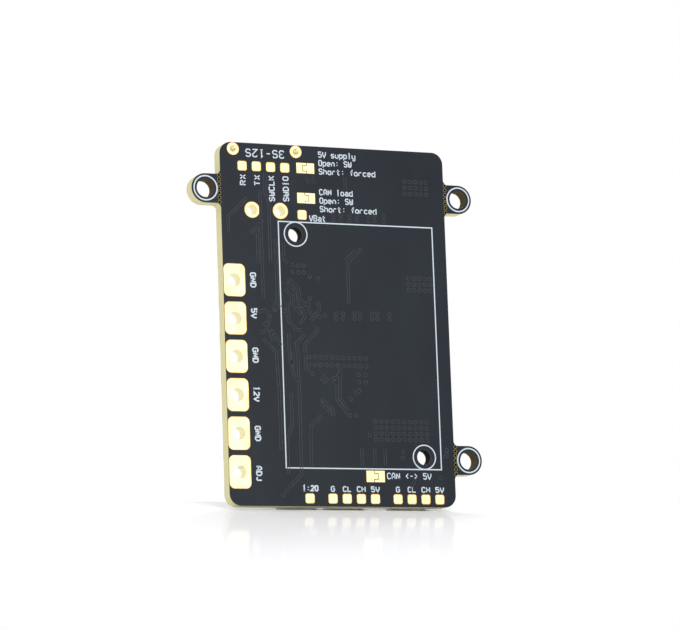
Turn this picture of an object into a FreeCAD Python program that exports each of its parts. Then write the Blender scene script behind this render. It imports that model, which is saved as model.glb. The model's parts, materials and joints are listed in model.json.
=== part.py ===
import FreeCAD, Part
import math
import os
from FreeCAD import Vector

# Carrier board of a flight controller, millimetres.
# X runs along the short edges, Z along the long edges, Y through the thickness.
# Y = 0 is the plain solder face and the components stand on the opposite face.
# The origin is the centre of the plate on the solder face.

# ---- plate ----
board_width = 40.5
board_height = 60.5
board_thickness = 2.4
board_corner = 2.0

# ---- break-off fixing ears ----
ear_x = 22.9
ear_z = 22.3
ear_half_width = 2.45
ear_hole = 3.1
ear_fillet = 0.8
ears = [(-1, 1), (1, 1), (1, -1)]
bite_count = 7
bite_pitch = 0.76
bite_diameter = 0.46
bite_offset = 0.25

# ---- seat of the plug-on module: two screw holes in opposite corners ----
module_holes = [(-7.15, 15.15), (14.75, -21.87)]
module_hole = 2.6

# ---- copper lands, let in flush with the faces ----
land_depth = 0.06
land_gap = 0.09
output_x = -18.3
output_width = 3.8
output_height = 5.45
output_corner = 0.9
output_top_z = 7.06
output_pitch = 6.35
output_count = 6
output_hole = 2.2
barrel_wall = 0.06
barrel_gap = 0.02

small_land = 1.62
small_corner = 0.36
small_pitch = 2.54
debug_z = 26.34
debug_x = -16.32
signal_z = -28.93
signal_left_x = -6.14
signal_middle_x = -2.05
signal_right_x = 9.67
row_count = 4
battery_sense = (-5.87, 18.48)

leg_holes = [(-17.87, 29.15), (-6.64, 29.15)]
leg_land = 2.1
leg_hole = 1.1
pin_holes = [(-14.78, 18.97), (-9.73, 18.98)]
pin_land = 2.7
pin_hole = 1.8

jumper_gap = 0.12
jumper_tongue = 0.86
jumper_reach = 0.42
jumper_neck = 0.28

# ---- connectors along the lower edge ----
connector_x = [-6.6, 1.8, 13.3]
connector_width = 7.2
connector_height = 2.9
connector_depth = 4.4
connector_wall = 0.5
connector_back = 1.1
connector_setback = 0.3
contact_count = 4
contact_pitch = 1.25
contact_side = 0.3
contact_tip = 0.9
contact_tail = 0.3
contact_foot = 0.8
contact_sheet = 0.2
connector_corner = 0.25
latch_share = 0.3
latch_width = 1.0
latch_low = 0.9
latch_high = 2.1
tab_low = 1.45
tab_high = 2.95
tab_inset = 0.3
tab_reach = 0.5
tab_sheet = 0.2
tab_height = 0.95
tab_clearance = 0.05

# ---- two-way slide switch bank ----
switch_x = 13.6
switch_z = 24.0
switch_width = 6.7
switch_length = 6.2
switch_height = 3.0
switch_wall = 0.8
switch_pitch = 2.54
slider_travel = 1.6
knob_width = 1.0
knob_length = 1.4
knob_rise = 0.5
slider_gap = 0.15
slider_foot_side = 0.35
slider_foot_height = 0.9
slider_foot_extra = 0.9
slider_headroom = 0.12
switch_floor = 0.6

# ---- trimmer of the adjustable output ----
trimmer_x = 4.6
trimmer_z = 24.6
trimmer_side = 4.0
trimmer_height = 1.7
rotor_radius = 1.45
rotor_clearance = 0.06
rotor_recess = 0.9
rotor_rise = 0.25
rotor_floor_gap = 0.06
rotor_slot_length = 2.2
rotor_slot_width = 0.45
rotor_slot_depth = 0.5

# ---- boot push-button ----
button_x = 16.2
button_z = -9.0
button_side = 4.2
button_height = 1.5
plunger_radius = 1.1
plunger_clearance = 0.09
plunger_rise = 0.7
plunger_flange = 0.35
plunger_flange_gap = 0.05
button_lid = 0.35
button_floor = 0.3
button_well_gap = 0.45

# ---- supplies ----
supply_z = [4.0, -5.6, -15.2]
supply_names = ["12v", "5v", "adj"]
inductor_x = -11.8
inductor_side = 6.6
inductor_height = 3.0
inductor_foot = 1.4
inductor_strip = 3.0
inductor_sheet = 0.15
inductor_cheek = 1.2
regulator_x = -3.6

# ---- packages: length, width, height ----
small_outline = (4.9, 3.9, 1.45)
quad_side = 7.0
quad_height = 1.4
quad_lead_pitch = 0.8
quad_leads_per_side = 8
stand_off = 0.1
controller_x = 8.4
controller_z = 2.0
transceiver_place = (1.8, -20.6)
crystal_place = (8.4, 10.0)
crystal_tray = (3.2, 2.5, 0.45)
crystal_cap = (2.9, 2.2, 0.3)

# ---- leads: reach, length of the foot, rise, thickness, width ----
switch_lead = (1.3, 0.7, 0.8, 0.2, 0.7)
trimmer_lead = (0.9, 0.6, 0.3, 0.15, 0.8)
trimmer_lead_pitch = 2.3
button_lead = (0.9, 0.6, 0.2, 0.15, 0.6)
button_lead_pitch = 2.8
small_outline_lead = (1.05, 0.6, 0.6, 0.2, 0.42)
small_outline_pitch = 1.27
quad_lead = (1.0, 0.55, 0.55, 0.14, 0.36)
surge_lead = (0.75, 0.55, 0.9, 0.2, 2.0)

# ---- chip parts: length, width, height, length of an end ----
supply_chip = (3.2, 1.6, 1.5, 0.45)
capacitor_chip = (1.6, 0.8, 0.8, 0.3)
resistor_chip = (1.6, 0.8, 0.5, 0.3)
shunt_chip = (6.4, 3.2, 0.8, 1.0)
shunt_place = (0.6, 12.6)
chip_end_growth = 0.03

# ---- surge diode and status lamps: length, width, height ----
surge_place = (0.6, 18.4)
surge_size = (4.4, 3.6, 2.2)
lamp_x = 16.6
lamp_resistor_x = 18.9
lamp_z = [-1.4, 1.4, 4.2]
lamp_base = (1.6, 0.8, 0.25)
lamp_lens = (1.1, 0.78, 0.45)

half_width = board_width / 2
half_height = board_height / 2
top = board_thickness


def block(x0, x1, y0, y1, z0, z1):
    return Part.makeBox(x1 - x0, y1 - y0, z1 - z0, Vector(x0, y0, z0))


def slab(x, z, width, height, y0, y1):
    return block(x - width / 2, x + width / 2, y0, y1, z - height / 2, z + height / 2)


def rod(x, z, radius, y0, y1):
    return Part.makeCylinder(radius, y1 - y0, Vector(x, y0, z), Vector(0, 1, 0))


def edges_along(solid, axis):
    """Straight edges of a solid that are parallel to an axis."""
    found = []
    for edge in solid.Edges:
        if edge.Curve.TypeId != "Part::GeomLine":
            continue
        along = edge.tangentAt(edge.FirstParameter)
        if abs(along.dot(axis)) > 0.999:
            found.append(edge)
    return found


def rounded_slab(x, z, width, height, corner, y0, y1):
    plain = slab(x, z, width, height, y0, y1)
    return plain.makeFillet(corner, edges_along(plain, Vector(0, 1, 0)))


def softened_slab(x, z, width, height, corner, y0, y1, bevel):
    """A rounded slab whose upper rim is chamfered."""
    solid = rounded_slab(x, z, width, height, corner, y0, y1)
    rim = [edge for edge in solid.Edges if edge.BoundBox.YMin > y1 - 0.001]
    return solid.makeChamfer(bevel, rim)


def prism(points, y0, y1):
    """A straight-sided solid from an outline of (x, z) points."""
    corners = [Vector(x, y0, z) for x, z in points]
    wire = Part.makePolygon(corners + [corners[0]])
    return Part.Face(wire).extrude(Vector(0, y1 - y0, 0))


def join(solids):
    whole = solids[0]
    for solid in solids[1:]:
        whole = whole.fuse(solid)
    return whole.removeSplitter()


def cut_all(solid, tools):
    return solid.cut(Part.makeCompound(tools))


def save(name, shape):
    if isinstance(shape, list):
        shape = Part.makeCompound(shape) if len(shape) > 1 else shape[0]
    for solid in shape.Solids:
        assert solid.isValid() and solid.isClosed(), name
    shape.exportStep("parts/" + name + ".step")


def row(first_x, z):
    return [(first_x + i * small_pitch, z) for i in range(row_count)]


debug_places = row(debug_x, debug_z)
signal_middle_places = row(signal_middle_x, signal_z)
signal_right_places = row(signal_right_x, signal_z)
output_places = [(output_x, output_top_z - i * output_pitch) for i in range(output_count)]

# name: centre x, centre z, width, height, direction in which the tongue points
jumpers = {
    "jumper_5v_output": (-5.0, 26.44, 3.2, 1.75, -1),
    "jumper_can_termination": (-5.03, 21.34, 3.2, 1.75, 1),
    "jumper_can_supply": (5.75, -25.17, 3.3, 1.9, 1),
}


# ---------------------------------------------------------------- plate

def ear(side, level):
    """A tab with a rounded end, filleted into the plate's long edge."""
    inner = side * (half_width - 1)
    low_x, high_x = sorted((inner, side * ear_x))
    tab = block(low_x, high_x, 0, top, level * ear_z - ear_half_width, level * ear_z + ear_half_width)
    return tab.fuse(rod(side * ear_x, level * ear_z, ear_half_width, 0, top))


def bites(side, level):
    """The column of small holes along which an ear snaps off."""
    column_x = side * (half_width + bite_offset)
    middle = (bite_count - 1) / 2
    holes = []
    for i in range(bite_count):
        z = level * ear_z + (i - middle) * bite_pitch
        holes.append(rod(column_x, z, bite_diameter / 2, -1, top + 1))
    return holes


def plate_outline():
    plate = rounded_slab(0, 0, board_width, board_height, board_corner, 0, top)
    for side, level in ears:
        plate = plate.fuse(ear(side, level))
    plate = plate.removeSplitter()
    inner_corners = []
    for edge in edges_along(plate, Vector(0, 1, 0)):
        point = edge.CenterOfMass
        at_edge = abs(abs(point.x) - half_width) < 0.01
        at_ear = abs(abs(abs(point.z) - ear_z) - ear_half_width) < 0.01
        if at_edge and at_ear:
            inner_corners.append(edge)
    return plate.makeFillet(ear_fillet, inner_corners)


def land_pocket(x, z, width, height, corner, y0, y1):
    extra = 2 * land_gap
    return rounded_slab(x, z, width + extra, height + extra, corner + land_gap, y0, y1)


def board():
    tools = []
    for side, level in ears:
        tools += bites(side, level)
        tools.append(rod(side * ear_x, level * ear_z, ear_hole / 2, -1, top + 1))
    for x, z in module_holes:
        tools.append(rod(x, z, module_hole / 2, -1, top + 1))
    small = debug_places + signal_middle_places + signal_right_places
    small += [(signal_left_x, signal_z), battery_sense]
    for x, z in small:
        tools.append(land_pocket(x, z, small_land, small_land, small_corner, -1, land_depth))
    for x, z, width, height, tongue in jumpers.values():
        tools.append(slab(x, z, width + 2 * land_gap, height + 2 * land_gap, -1, land_depth))
    for x, z in output_places:
        tools.append(rod(x, z, output_hole / 2 + barrel_wall + barrel_gap, -1, top + 1))
        for y0, y1 in ((-1, land_depth), (top - land_depth, top + 1)):
            tools.append(land_pocket(x, z, output_width, output_height, output_corner, y0, y1))
    for places, land, hole in ((leg_holes, leg_land, leg_hole), (pin_holes, pin_land, pin_hole)):
        for x, z in places:
            tools.append(rod(x, z, hole / 2 + barrel_wall + barrel_gap, -1, top + 1))
            for y0, y1 in ((-1, land_depth), (top - land_depth, top + 1)):
                tools.append(rod(x, z, land / 2 + land_gap, y0, y1))
    return cut_all(plate_outline(), tools)


# ---------------------------------------------------------------- copper

def output_land(x, z):
    """A land on each face, joined by the plated barrel of its wire hole."""
    lower = rounded_slab(x, z, output_width, output_height, output_corner, 0, land_depth)
    upper = rounded_slab(x, z, output_width, output_height, output_corner, top - land_depth, top)
    barrel = rod(x, z, output_hole / 2 + barrel_wall, 0, top)
    return join([lower, upper, barrel]).cut(rod(x, z, output_hole / 2, -1, top + 1))


def round_land(x, z, land, hole):
    lower = rod(x, z, land / 2, 0, land_depth)
    upper = rod(x, z, land / 2, top - land_depth, top)
    barrel = rod(x, z, hole / 2 + barrel_wall, 0, top)
    return join([lower, upper, barrel]).cut(rod(x, z, hole / 2, -1, top + 1))


def small_lands(places):
    return [rounded_slab(x, z, small_land, small_land, small_corner, 0, land_depth) for x, z in places]


def jumper(x, z, width, height, tongue):
    """Two halves parted by a thin gap that steps round a tongue on one half."""
    whole = slab(x, z, width, height, 0, land_depth)
    halves = []
    for gap in (0, jumper_gap):
        neck = x + tongue * (gap - jumper_neck)
        tip = x + tongue * (gap + jumper_reach)
        far = x - tongue * width
        rise = jumper_tongue / 2 + gap
        outline = [(far, z + height), (neck, z + height), (neck, z + rise), (tip, z + rise)]
        outline += [(tip, z - rise), (neck, z - rise), (neck, z - height), (far, z - height)]
        halves.append(prism(outline, -1, 1))
    return [whole.common(halves[0]), whole.cut(halves[1])]


def copper():
    save("output_lands", [output_land(x, z) for x, z in output_places])
    save("battery_leg_lands", [round_land(x, z, leg_land, leg_hole) for x, z in leg_holes])
    save("battery_pin_lands", [round_land(x, z, pin_land, pin_hole) for x, z in pin_holes])
    save("debug_lands", small_lands(debug_places))
    save("signal_lands_left", small_lands([(signal_left_x, signal_z)]))
    save("signal_lands_middle", small_lands(signal_middle_places))
    save("signal_lands_right", small_lands(signal_right_places))
    save("battery_sense_land", small_lands([battery_sense]))
    for name, shape in jumpers.items():
        save(name, jumper(*shape))


# ---------------------------------------------------------------- leads

def gull_lead(reach, foot, rise, thickness, width):
    """A bent lead that leaves a package at u = 0 and ends in a foot on the plate."""
    bend = reach - foot
    outline = [(0, rise + thickness), (bend, rise + thickness), (bend, thickness), (reach, thickness)]
    outline += [(reach, 0), (bend - thickness, 0), (bend - thickness, rise), (0, rise)]
    corners = [Vector(u, top + y, -width / 2) for u, y in outline]
    face = Part.Face(Part.makePolygon(corners + [corners[0]]))
    lead = face.extrude(Vector(0, 0, width))
    outer = []
    for edge in edges_along(lead, Vector(0, 0, 1)):
        point = edge.CenterOfMass
        heel = abs(point.x - bend + thickness) < 0.001 and abs(point.y - top) < 0.001
        shoulder = abs(point.x - bend) < 0.001 and abs(point.y - top - rise - thickness) < 0.001
        if heel or shoulder:
            outer.append(edge)
    return lead.makeFillet(thickness * 0.8, outer)


def placed(shape, x, z, turn):
    """Turned about Y, then moved: turn 0 points along +X, 90 along -Z."""
    copy = shape.copy()
    copy.rotate(Vector(0, 0, 0), Vector(0, 1, 0), turn)
    copy.translate(Vector(x, 0, z))
    return copy


def lead_row(lead, x, z, half_span, turn, count, pitch):
    """Leads side by side along one side of a package centred on (x, z)."""
    angle = math.radians(turn)
    out_x = math.cos(angle)
    out_z = -math.sin(angle)
    leads = []
    for i in range(count):
        along = (i - (count - 1) / 2) * pitch
        lead_x = x + out_x * half_span - out_z * along
        lead_z = z + out_z * half_span + out_x * along
        leads.append(placed(lead, lead_x, lead_z, turn))
    return leads


# ---------------------------------------------------------------- connectors

def connector_housing(x):
    """A side-entry shell, open downwards, with two latch windows in its roof."""
    low = connector_setback - half_height
    high = low + connector_depth
    left = x - connector_width / 2
    right = x + connector_width / 2
    roof = top + connector_height
    shell = block(left, right, top, roof, low, high)
    shell = shell.makeFillet(connector_corner, [e for e in edges_along(shell, Vector(0, 0, 1))
                                    if e.CenterOfMass.y > roof - 0.01])
    wall = connector_wall
    cavity = block(left + wall, right - wall, top + wall, roof - wall, low - 1, high - connector_back)
    tools = [cavity]
    for side in (-1, 1):
        middle = x + side * connector_width * latch_share
        tools.append(block(middle - latch_width / 2, middle + latch_width / 2, roof - wall - 0.1, roof + 1,
                           low + latch_low, low + latch_high))
        outer = x + side * connector_width / 2
        tools.append(block(outer - tab_inset, outer + tab_inset, top - 1, top + tab_height + tab_clearance,
                           low + tab_low - tab_clearance, low + tab_high + tab_clearance))
    for pin_x in contact_places(x):
        reach = contact_side / 2
        tools.append(block(pin_x - reach, pin_x + reach, contact_y() - reach, contact_y() + reach,
                           high - connector_back - 0.1, high + 1))
    return shell.cut(Part.makeCompound(tools))


def contact_places(x):
    return [x + (i - (contact_count - 1) / 2) * contact_pitch for i in range(contact_count)]


def contact_y():
    return top + connector_height / 2


def connector_contacts(x):
    """Square pins that cross the back wall and step down to feet on the plate."""
    low = connector_setback - half_height
    high = low + connector_depth
    reach = contact_side / 2
    tail = high + contact_tail
    behind = tail - contact_sheet
    contacts = []
    for pin_x in contact_places(x):
        pin = block(pin_x - reach, pin_x + reach, contact_y() - reach, contact_y() + reach,
                    low + contact_tip, tail)
        drop = block(pin_x - reach, pin_x + reach, top, contact_y() + reach, behind, tail)
        foot = block(pin_x - reach, pin_x + reach, top, top + contact_sheet, behind, behind + contact_foot)
        contacts.append(join([pin, drop, foot]))
    return contacts


def connector_tabs(x):
    """Bent plates at both ends that hold the shell down."""
    low = connector_setback - half_height
    tabs = []
    for side in (-1, 1):
        wall = x + side * (connector_width / 2 - tab_inset)
        outer = x + side * (connector_width / 2 + tab_reach)
        near, far = sorted((wall, outer))
        foot = block(near, far, top, top + tab_sheet, low + tab_low, low + tab_high)
        near, far = sorted((wall, wall + side * tab_sheet))
        upright = block(near, far, top, top + tab_height, low + tab_low, low + tab_high)
        tabs.append(join([foot, upright]))
    return tabs


def connectors():
    for x, name in zip(connector_x, ("left", "middle", "right")):
        save("connector_" + name + "_housing", connector_housing(x))
        save("connector_" + name + "_contacts", connector_contacts(x))
        save("connector_" + name + "_tabs", connector_tabs(x))


# ---------------------------------------------------------------- slide switches

def slot_length():
    return knob_length + slider_travel + 2 * slider_gap


def switch_housing():
    roof = top + switch_height
    shell = softened_slab(switch_x, switch_z, switch_width, switch_length, 0.2, top, roof, 0.15)
    inner_width = switch_width - 2 * switch_wall
    inner_length = switch_length - 2 * switch_wall
    tools = [slab(switch_x, switch_z, inner_width, inner_length, top - 1, roof - switch_wall)]
    for side in (-1, 1):
        x = switch_x + side * switch_pitch / 2
        slot_width = knob_width + 2 * slider_gap
        tools.append(slab(x, switch_z, slot_width, slot_length(), roof - 2 * switch_wall, roof + 1))
    return cut_all(shell, tools)


def switch_base():
    inner_width = switch_width - 2 * switch_wall
    inner_length = switch_length - 2 * switch_wall
    return slab(switch_x, switch_z, inner_width, inner_length, top, top + switch_floor)


def slider(side):
    """A knob on a wider foot that is trapped under the roof, at the low end of its slot."""
    x = switch_x + side * switch_pitch / 2
    z = switch_z - slider_travel / 2
    roof = top + switch_height
    under = roof - switch_wall - slider_headroom
    foot_width = knob_width + 2 * slider_foot_side
    foot = slab(x, z, foot_width, knob_length + slider_foot_extra, under - slider_foot_height, under)
    knob = slab(x, z, knob_width, knob_length, under - 0.1, roof + knob_rise)
    knob = knob.makeFillet(0.12, [e for e in knob.Edges if e.CenterOfMass.y > roof + knob_rise - 0.001])
    return join([foot, knob])


def switch_terminals():
    lead = gull_lead(*switch_lead)
    leads = []
    for turn in (90, 270):
        leads += lead_row(lead, switch_x, switch_z, switch_length / 2, turn, 2, switch_pitch)
    return leads


# ---------------------------------------------------------------- trimmer

def trimmer_body():
    high = top + trimmer_height
    body = softened_slab(trimmer_x, trimmer_z, trimmer_side, trimmer_side, 0.3, top + stand_off, high, 0.12)
    recess = rod(trimmer_x, trimmer_z, rotor_radius + rotor_clearance, high - rotor_recess, high + 1)
    return body.cut(recess)


def trimmer_rotor():
    """A disc with a cross-shaped screwdriver slot."""
    high = top + trimmer_height
    low = high - rotor_recess + rotor_floor_gap
    disc = rod(trimmer_x, trimmer_z, rotor_radius, low, high + rotor_rise)
    rim = [e for e in disc.Edges if e.BoundBox.YMin > high + rotor_rise - 0.001]
    disc = disc.makeChamfer(0.1, rim)
    slot_floor = high + rotor_rise - rotor_slot_depth
    long_slot = slab(trimmer_x, trimmer_z, rotor_slot_length, rotor_slot_width, slot_floor, high + 1)
    cross_slot = slab(trimmer_x, trimmer_z, rotor_slot_width, rotor_slot_length, slot_floor, high + 1)
    return disc.cut(Part.makeCompound([long_slot, cross_slot]))


def trimmer_terminals():
    lead = gull_lead(*trimmer_lead)
    leads = lead_row(lead, trimmer_x, trimmer_z, trimmer_side / 2, 90, 2, trimmer_lead_pitch)
    leads += lead_row(lead, trimmer_x, trimmer_z, trimmer_side / 2, 270, 1, 0)
    return leads


# ---------------------------------------------------------------- push-button

def button_frame():
    high = top + button_height
    frame = softened_slab(button_x, button_z, button_side, button_side, 0.3, top + stand_off, high, 0.1)
    bore = rod(button_x, button_z, plunger_radius + plunger_clearance, high - 2 * button_lid, high + 1)
    well_floor = top + stand_off + button_floor
    well = rod(button_x, button_z, plunger_radius + button_well_gap, well_floor, high - button_lid)
    return frame.cut(Part.makeCompound([bore, well]))


def button_plunger():
    """A round cap with a flange that is trapped under the frame."""
    high = top + button_height
    under = high - button_lid - plunger_flange_gap
    cap = rod(button_x, button_z, plunger_radius, under - plunger_flange, high + plunger_rise)
    rim = [e for e in cap.Edges if e.BoundBox.YMin > high + plunger_rise - 0.001]
    cap = cap.makeChamfer(0.15, rim)
    flange = rod(button_x, button_z, plunger_radius + plunger_flange, under - plunger_flange, under)
    return join([cap, flange])


def button_terminals():
    lead = gull_lead(*button_lead)
    leads = []
    for turn in (0, 180):
        leads += lead_row(lead, button_x, button_z, button_side / 2, turn, 2, button_lead_pitch)
    return leads


# ---------------------------------------------------------------- supplies

def inductor(z):
    base = top + inductor_sheet
    return softened_slab(inductor_x, z, inductor_side, inductor_side, 0.5, base, top + inductor_height, 0.35)


def inductor_terminals():
    """Strips that run under the coil's block and fold up its two ends."""
    strips = []
    for z in supply_z:
        low_z = z - inductor_strip / 2
        high_z = z + inductor_strip / 2
        for side in (-1, 1):
            inner = inductor_x + side * (inductor_side / 2 - inductor_foot)
            outer = inductor_x + side * (inductor_side / 2 + inductor_sheet)
            low_x, high_x = sorted((inner, outer))
            sole = block(low_x, high_x, top, top + inductor_sheet, low_z, high_z)
            low_x, high_x = sorted((outer, outer - side * inductor_sheet))
            cheek = block(low_x, high_x, top, top + inductor_cheek, low_z, high_z)
            strips.append(join([sole, cheek]))
    return strips


def small_outline_body(x, z, turned):
    """An eight-lead package; turned lays its long side along X."""
    length, width, height = small_outline
    size_x, size_z = (length, width) if turned else (width, length)
    body = softened_slab(x, z, size_x, size_z, 0.25, top + stand_off, top + height, 0.2)
    corner_x = x - size_x / 2 + 0.75
    corner_z = z + size_z / 2 - 0.75
    return body.cut(rod(corner_x, corner_z, 0.3, top + height - 0.1, top + height + 1))


def small_outline_leads(x, z, turned):
    lead = gull_lead(*small_outline_lead)
    half_span = small_outline[1] / 2
    leads = []
    for turn in ((90, 270) if turned else (0, 180)):
        leads += lead_row(lead, x, z, half_span, turn, 4, small_outline_pitch)
    return leads


def supplies():
    leads = []
    for name, z in zip(supply_names, supply_z):
        save("inductor_" + name, inductor(z))
        save("regulator_" + name, small_outline_body(regulator_x, z, False))
        leads += small_outline_leads(regulator_x, z, False)
    save("inductor_terminals", inductor_terminals())
    save("regulator_leads", leads)


# ---------------------------------------------------------------- controller

def controller_body():
    high = top + quad_height
    body = softened_slab(controller_x, controller_z, quad_side, quad_side, 0.25, top + stand_off, high, 0.15)
    mark_x = controller_x - quad_side / 2 + 0.9
    mark_z = controller_z + quad_side / 2 - 0.9
    return body.cut(rod(mark_x, mark_z, 0.35, high - 0.1, high + 1))


def controller_leads():
    lead = gull_lead(*quad_lead)
    leads = []
    for turn in (0, 90, 180, 270):
        leads += lead_row(lead, controller_x, controller_z, quad_side / 2, turn,
                          quad_leads_per_side, quad_lead_pitch)
    return leads


def crystal():
    """A ceramic tray with a seam-welded metal lid on it."""
    x, z = crystal_place
    length, width, height = crystal_tray
    seam = top + height
    save("crystal_base", rounded_slab(x, z, length, width, 0.15, top, seam))
    length, width, height = crystal_cap
    save("crystal_lid", softened_slab(x, z, length, width, 0.35, seam, seam + height, 0.08))


def controller():
    save("microcontroller", controller_body())
    save("microcontroller_leads", controller_leads())
    crystal()
    save("can_transceiver", small_outline_body(*transceiver_place, True))
    save("can_transceiver_leads", small_outline_leads(*transceiver_place, True))


# ---------------------------------------------------------------- chip parts

def chip(x, z, length, width, height, end, along_x):
    """The middle and the two slightly larger ends of a chip component."""
    grow = chip_end_growth
    size_x, size_z = (length - 2 * end, width) if along_x else (width, length - 2 * end)
    middle = slab(x, z, size_x, size_z, top + grow, top + height)
    ends = []
    for side in (-1, 1):
        shift = side * (length - end) / 2
        end_x, end_z = (x + shift, z) if along_x else (x, z + shift)
        wide = width + 2 * grow
        cap_x, cap_z = (end, wide) if along_x else (wide, end)
        cap = slab(end_x, end_z, cap_x, cap_z, top, top + height + grow)
        ends.append(cap.makeFillet(0.02 + 0.04 * height, cap.Edges))
    return middle, ends


def chip_group(body_name, end_name, places, size):
    bodies = []
    ends = []
    length, width, height, end = size
    for x, z, along_x in places:
        middle, pair = chip(x, z, length, width, height, end, along_x)
        bodies.append(middle)
        ends += pair
    save(body_name, bodies)
    save(end_name, ends)


def chip_parts():
    big = []
    for z in supply_z:
        for x in (inductor_x - 2.0, inductor_x + 2.0):
            big.append((x, z - 4.8, True))
        big.append((regulator_x, z - 4.6, True))
    chip_group("supply_capacitors", "supply_capacitor_ends", big, supply_chip)
    small = [(controller_x - 5.6, controller_z + i * 2.4, False) for i in (-1, 0, 1)]
    small += [(controller_x + 5.8, controller_z + i * 2.4, False) for i in (-1, 0, 1)]
    small += [(x, crystal_place[1], False) for x in (crystal_place[0] - 2.9, crystal_place[0] + 2.9)]
    small += [(-2.6, -22.9, False), (6.4, -21.0, False)]
    chip_group("small_capacitors", "small_capacitor_ends", small, capacitor_chip)
    resistors = [(controller_x - 3 + i * 2.0, controller_z - 6.4, False) for i in range(4)]
    resistors += [(controller_x - 3 + i * 2.0, controller_z - 9.4, False) for i in range(4)]
    resistors += [(0.8 + i * 1.9, -15.4, False) for i in range(3)]
    resistors += [(trimmer_x - 3.6, trimmer_z + 1.2, False), (trimmer_x - 3.6, trimmer_z - 1.6, False)]
    resistors += [(lamp_resistor_x, z, True) for z in lamp_z]
    chip_group("resistors", "resistor_ends", resistors, resistor_chip)
    chip_group("shunt", "shunt_ends", [shunt_place + (True,)], shunt_chip)


def status_lamps():
    bases = []
    lenses = []
    length, width, height = lamp_base
    lens_length, lens_width, lens_height = lamp_lens
    base_top = top + height
    lens_top = base_top + lens_height
    for z in lamp_z:
        bases.append(slab(lamp_x, z, length, width, top, base_top))
        lens = slab(lamp_x, z, lens_length, lens_width, base_top, lens_top)
        lenses.append(lens.makeFillet(0.1, [e for e in lens.Edges if e.CenterOfMass.y > lens_top - 0.01]))
    save("lamp_bases", bases)
    save("lamp_lenses", lenses)


def surge_diode():
    x, z = surge_place
    length, width, height = surge_size
    save("surge_diode", softened_slab(x, z, length, width, 0.35, top + stand_off, top + height, 0.25))
    lead = gull_lead(*surge_lead)
    leads = []
    for turn in (0, 180):
        leads += lead_row(lead, x, z, length / 2, turn, 1, 0)
    save("surge_diode_leads", leads)


os.makedirs("parts", exist_ok=True)
save("board", board())
copper()
connectors()
save("switch_housing", switch_housing())
save("switch_base", switch_base())
save("switch_slider_5v", slider(-1))
save("switch_slider_can", slider(1))
save("switch_terminals", switch_terminals())
save("trimmer_body", trimmer_body())
save("trimmer_rotor", trimmer_rotor())
save("trimmer_terminals", trimmer_terminals())
save("button_frame", button_frame())
save("button_plunger", button_plunger())
save("button_terminals", button_terminals())
supplies()
controller()
chip_parts()
status_lamps()
surge_diode()
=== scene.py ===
import json
import math

import bmesh
import bpy
from mathutils import Euler, Matrix, Vector


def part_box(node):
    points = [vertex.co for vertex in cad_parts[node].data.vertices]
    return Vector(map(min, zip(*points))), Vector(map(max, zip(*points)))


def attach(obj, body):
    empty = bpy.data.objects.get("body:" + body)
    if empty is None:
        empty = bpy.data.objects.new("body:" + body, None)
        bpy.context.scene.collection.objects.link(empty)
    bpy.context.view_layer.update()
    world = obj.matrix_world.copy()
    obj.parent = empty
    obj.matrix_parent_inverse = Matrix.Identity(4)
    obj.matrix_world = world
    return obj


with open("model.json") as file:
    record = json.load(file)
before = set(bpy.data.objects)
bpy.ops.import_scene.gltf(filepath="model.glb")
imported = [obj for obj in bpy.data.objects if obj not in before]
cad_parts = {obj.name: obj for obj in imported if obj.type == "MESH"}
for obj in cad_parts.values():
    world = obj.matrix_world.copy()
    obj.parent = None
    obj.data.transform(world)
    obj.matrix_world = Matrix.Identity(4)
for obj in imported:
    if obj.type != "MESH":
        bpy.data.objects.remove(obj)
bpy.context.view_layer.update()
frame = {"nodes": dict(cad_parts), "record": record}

# A carrier board for a flight controller. Sizes are in millimetres and become metres as a mesh is made.
# The solder face is at y = 0 and looks along -Y; the component face is at y = 2.4 and looks along +Y.

MM = 0.001
CARRIER = "carrier"
PLATE_HALF_WIDTH = 20.25
PLATE_THICKNESS = 2.4

# Details on a face start a little inside it and stand this far off it.
SINK = 0.01
RIM_HEIGHT = 0.006
INK_HEIGHT = 0.022
RELIEF_HEIGHT = 0.03

# Lands lie in pockets of this depth and have a rim of this width.
POCKET_DEPTH = 0.06
LAND_RIM = 0.11
SMALL_CORNER = 0.36
OUTPUT_CORNER = 0.9

# Each ear has a column of holes along which it snaps off.
SNAP_COUNT = 7
SNAP_PITCH = 0.76
SNAP_OFFSET = 0.25
SNAP_RIM_RADIUS = 0.27
SNAP_RIM_WIDTH = 0.08
SNAP_HALF_WIDTH = 0.24
SNAP_REACH = 2.53

# Printed lines and the pens of the labels, from the finest to the boldest.
INK_WIDTH = 0.2
MARK_WIDTH = 0.15
PANEL_WIDTH = 0.18
FINE_PEN = 0.14
RATIO_PEN_SMALL = 0.15
SUPPLY_PEN = 0.17
NOTE_PEN = 0.18
LABEL_PEN = 0.2
OUTPUT_PEN = 0.23
RATIO_PEN = 0.24

# Copper under the mask shows as raised lips.
LIP = 0.12
VIA_RADIUS = 0.31
SOLDER_TRACE_WIDTH = 0.42
PARTS_TRACE_WIDTH = 0.3

mounts = {mount["name"]: mount for mount in frame["record"]["mounts"]}


class Face:
    """One side of the plate: where it is, and which way is out and to the right."""

    def __init__(self, level, out):
        self.level = level
        self.out = out
        self.right = -out

    def height(self, rise):
        return self.level + self.out * rise


SOLDER = Face(0.0, -1)
PARTS = Face(PLATE_THICKNESS, 1)


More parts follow.
